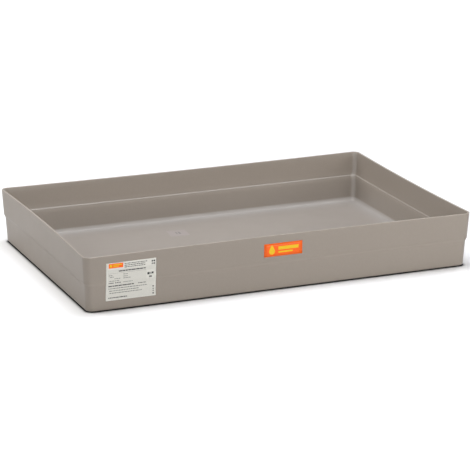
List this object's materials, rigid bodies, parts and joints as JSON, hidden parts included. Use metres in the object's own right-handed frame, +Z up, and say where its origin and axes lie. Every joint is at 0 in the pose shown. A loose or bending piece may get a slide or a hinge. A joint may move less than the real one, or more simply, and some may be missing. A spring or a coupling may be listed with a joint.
{
  "type": "oil drain pan",
  "caption": "Shallow rectangular glass-fibre plastic oil drain pan with drafted plain walls, a moulded shoulder and rounded corners, for catching fluids under a vehicle.",
  "frame": {"origin": "centre of the pan's footprint, on the ground under its base", "axes": "+X along the length, +Z up, and the long wall with the rating label and the front sticker faces -Y"},
  "size_m": [0.8098, 0.5298, 0.11],
  "materials": {
    "laminate": "satin",
    "label": "satin",
    "orange_sticker": "satin",
    "clear_sticker": "satin"
  },
  "bodies": {
    "root": {"tray": "laminate", "rating_label": "label", "front_sticker": "orange_sticker", "floor_sticker": "clear_sticker"}
  },
  "joints": []
}
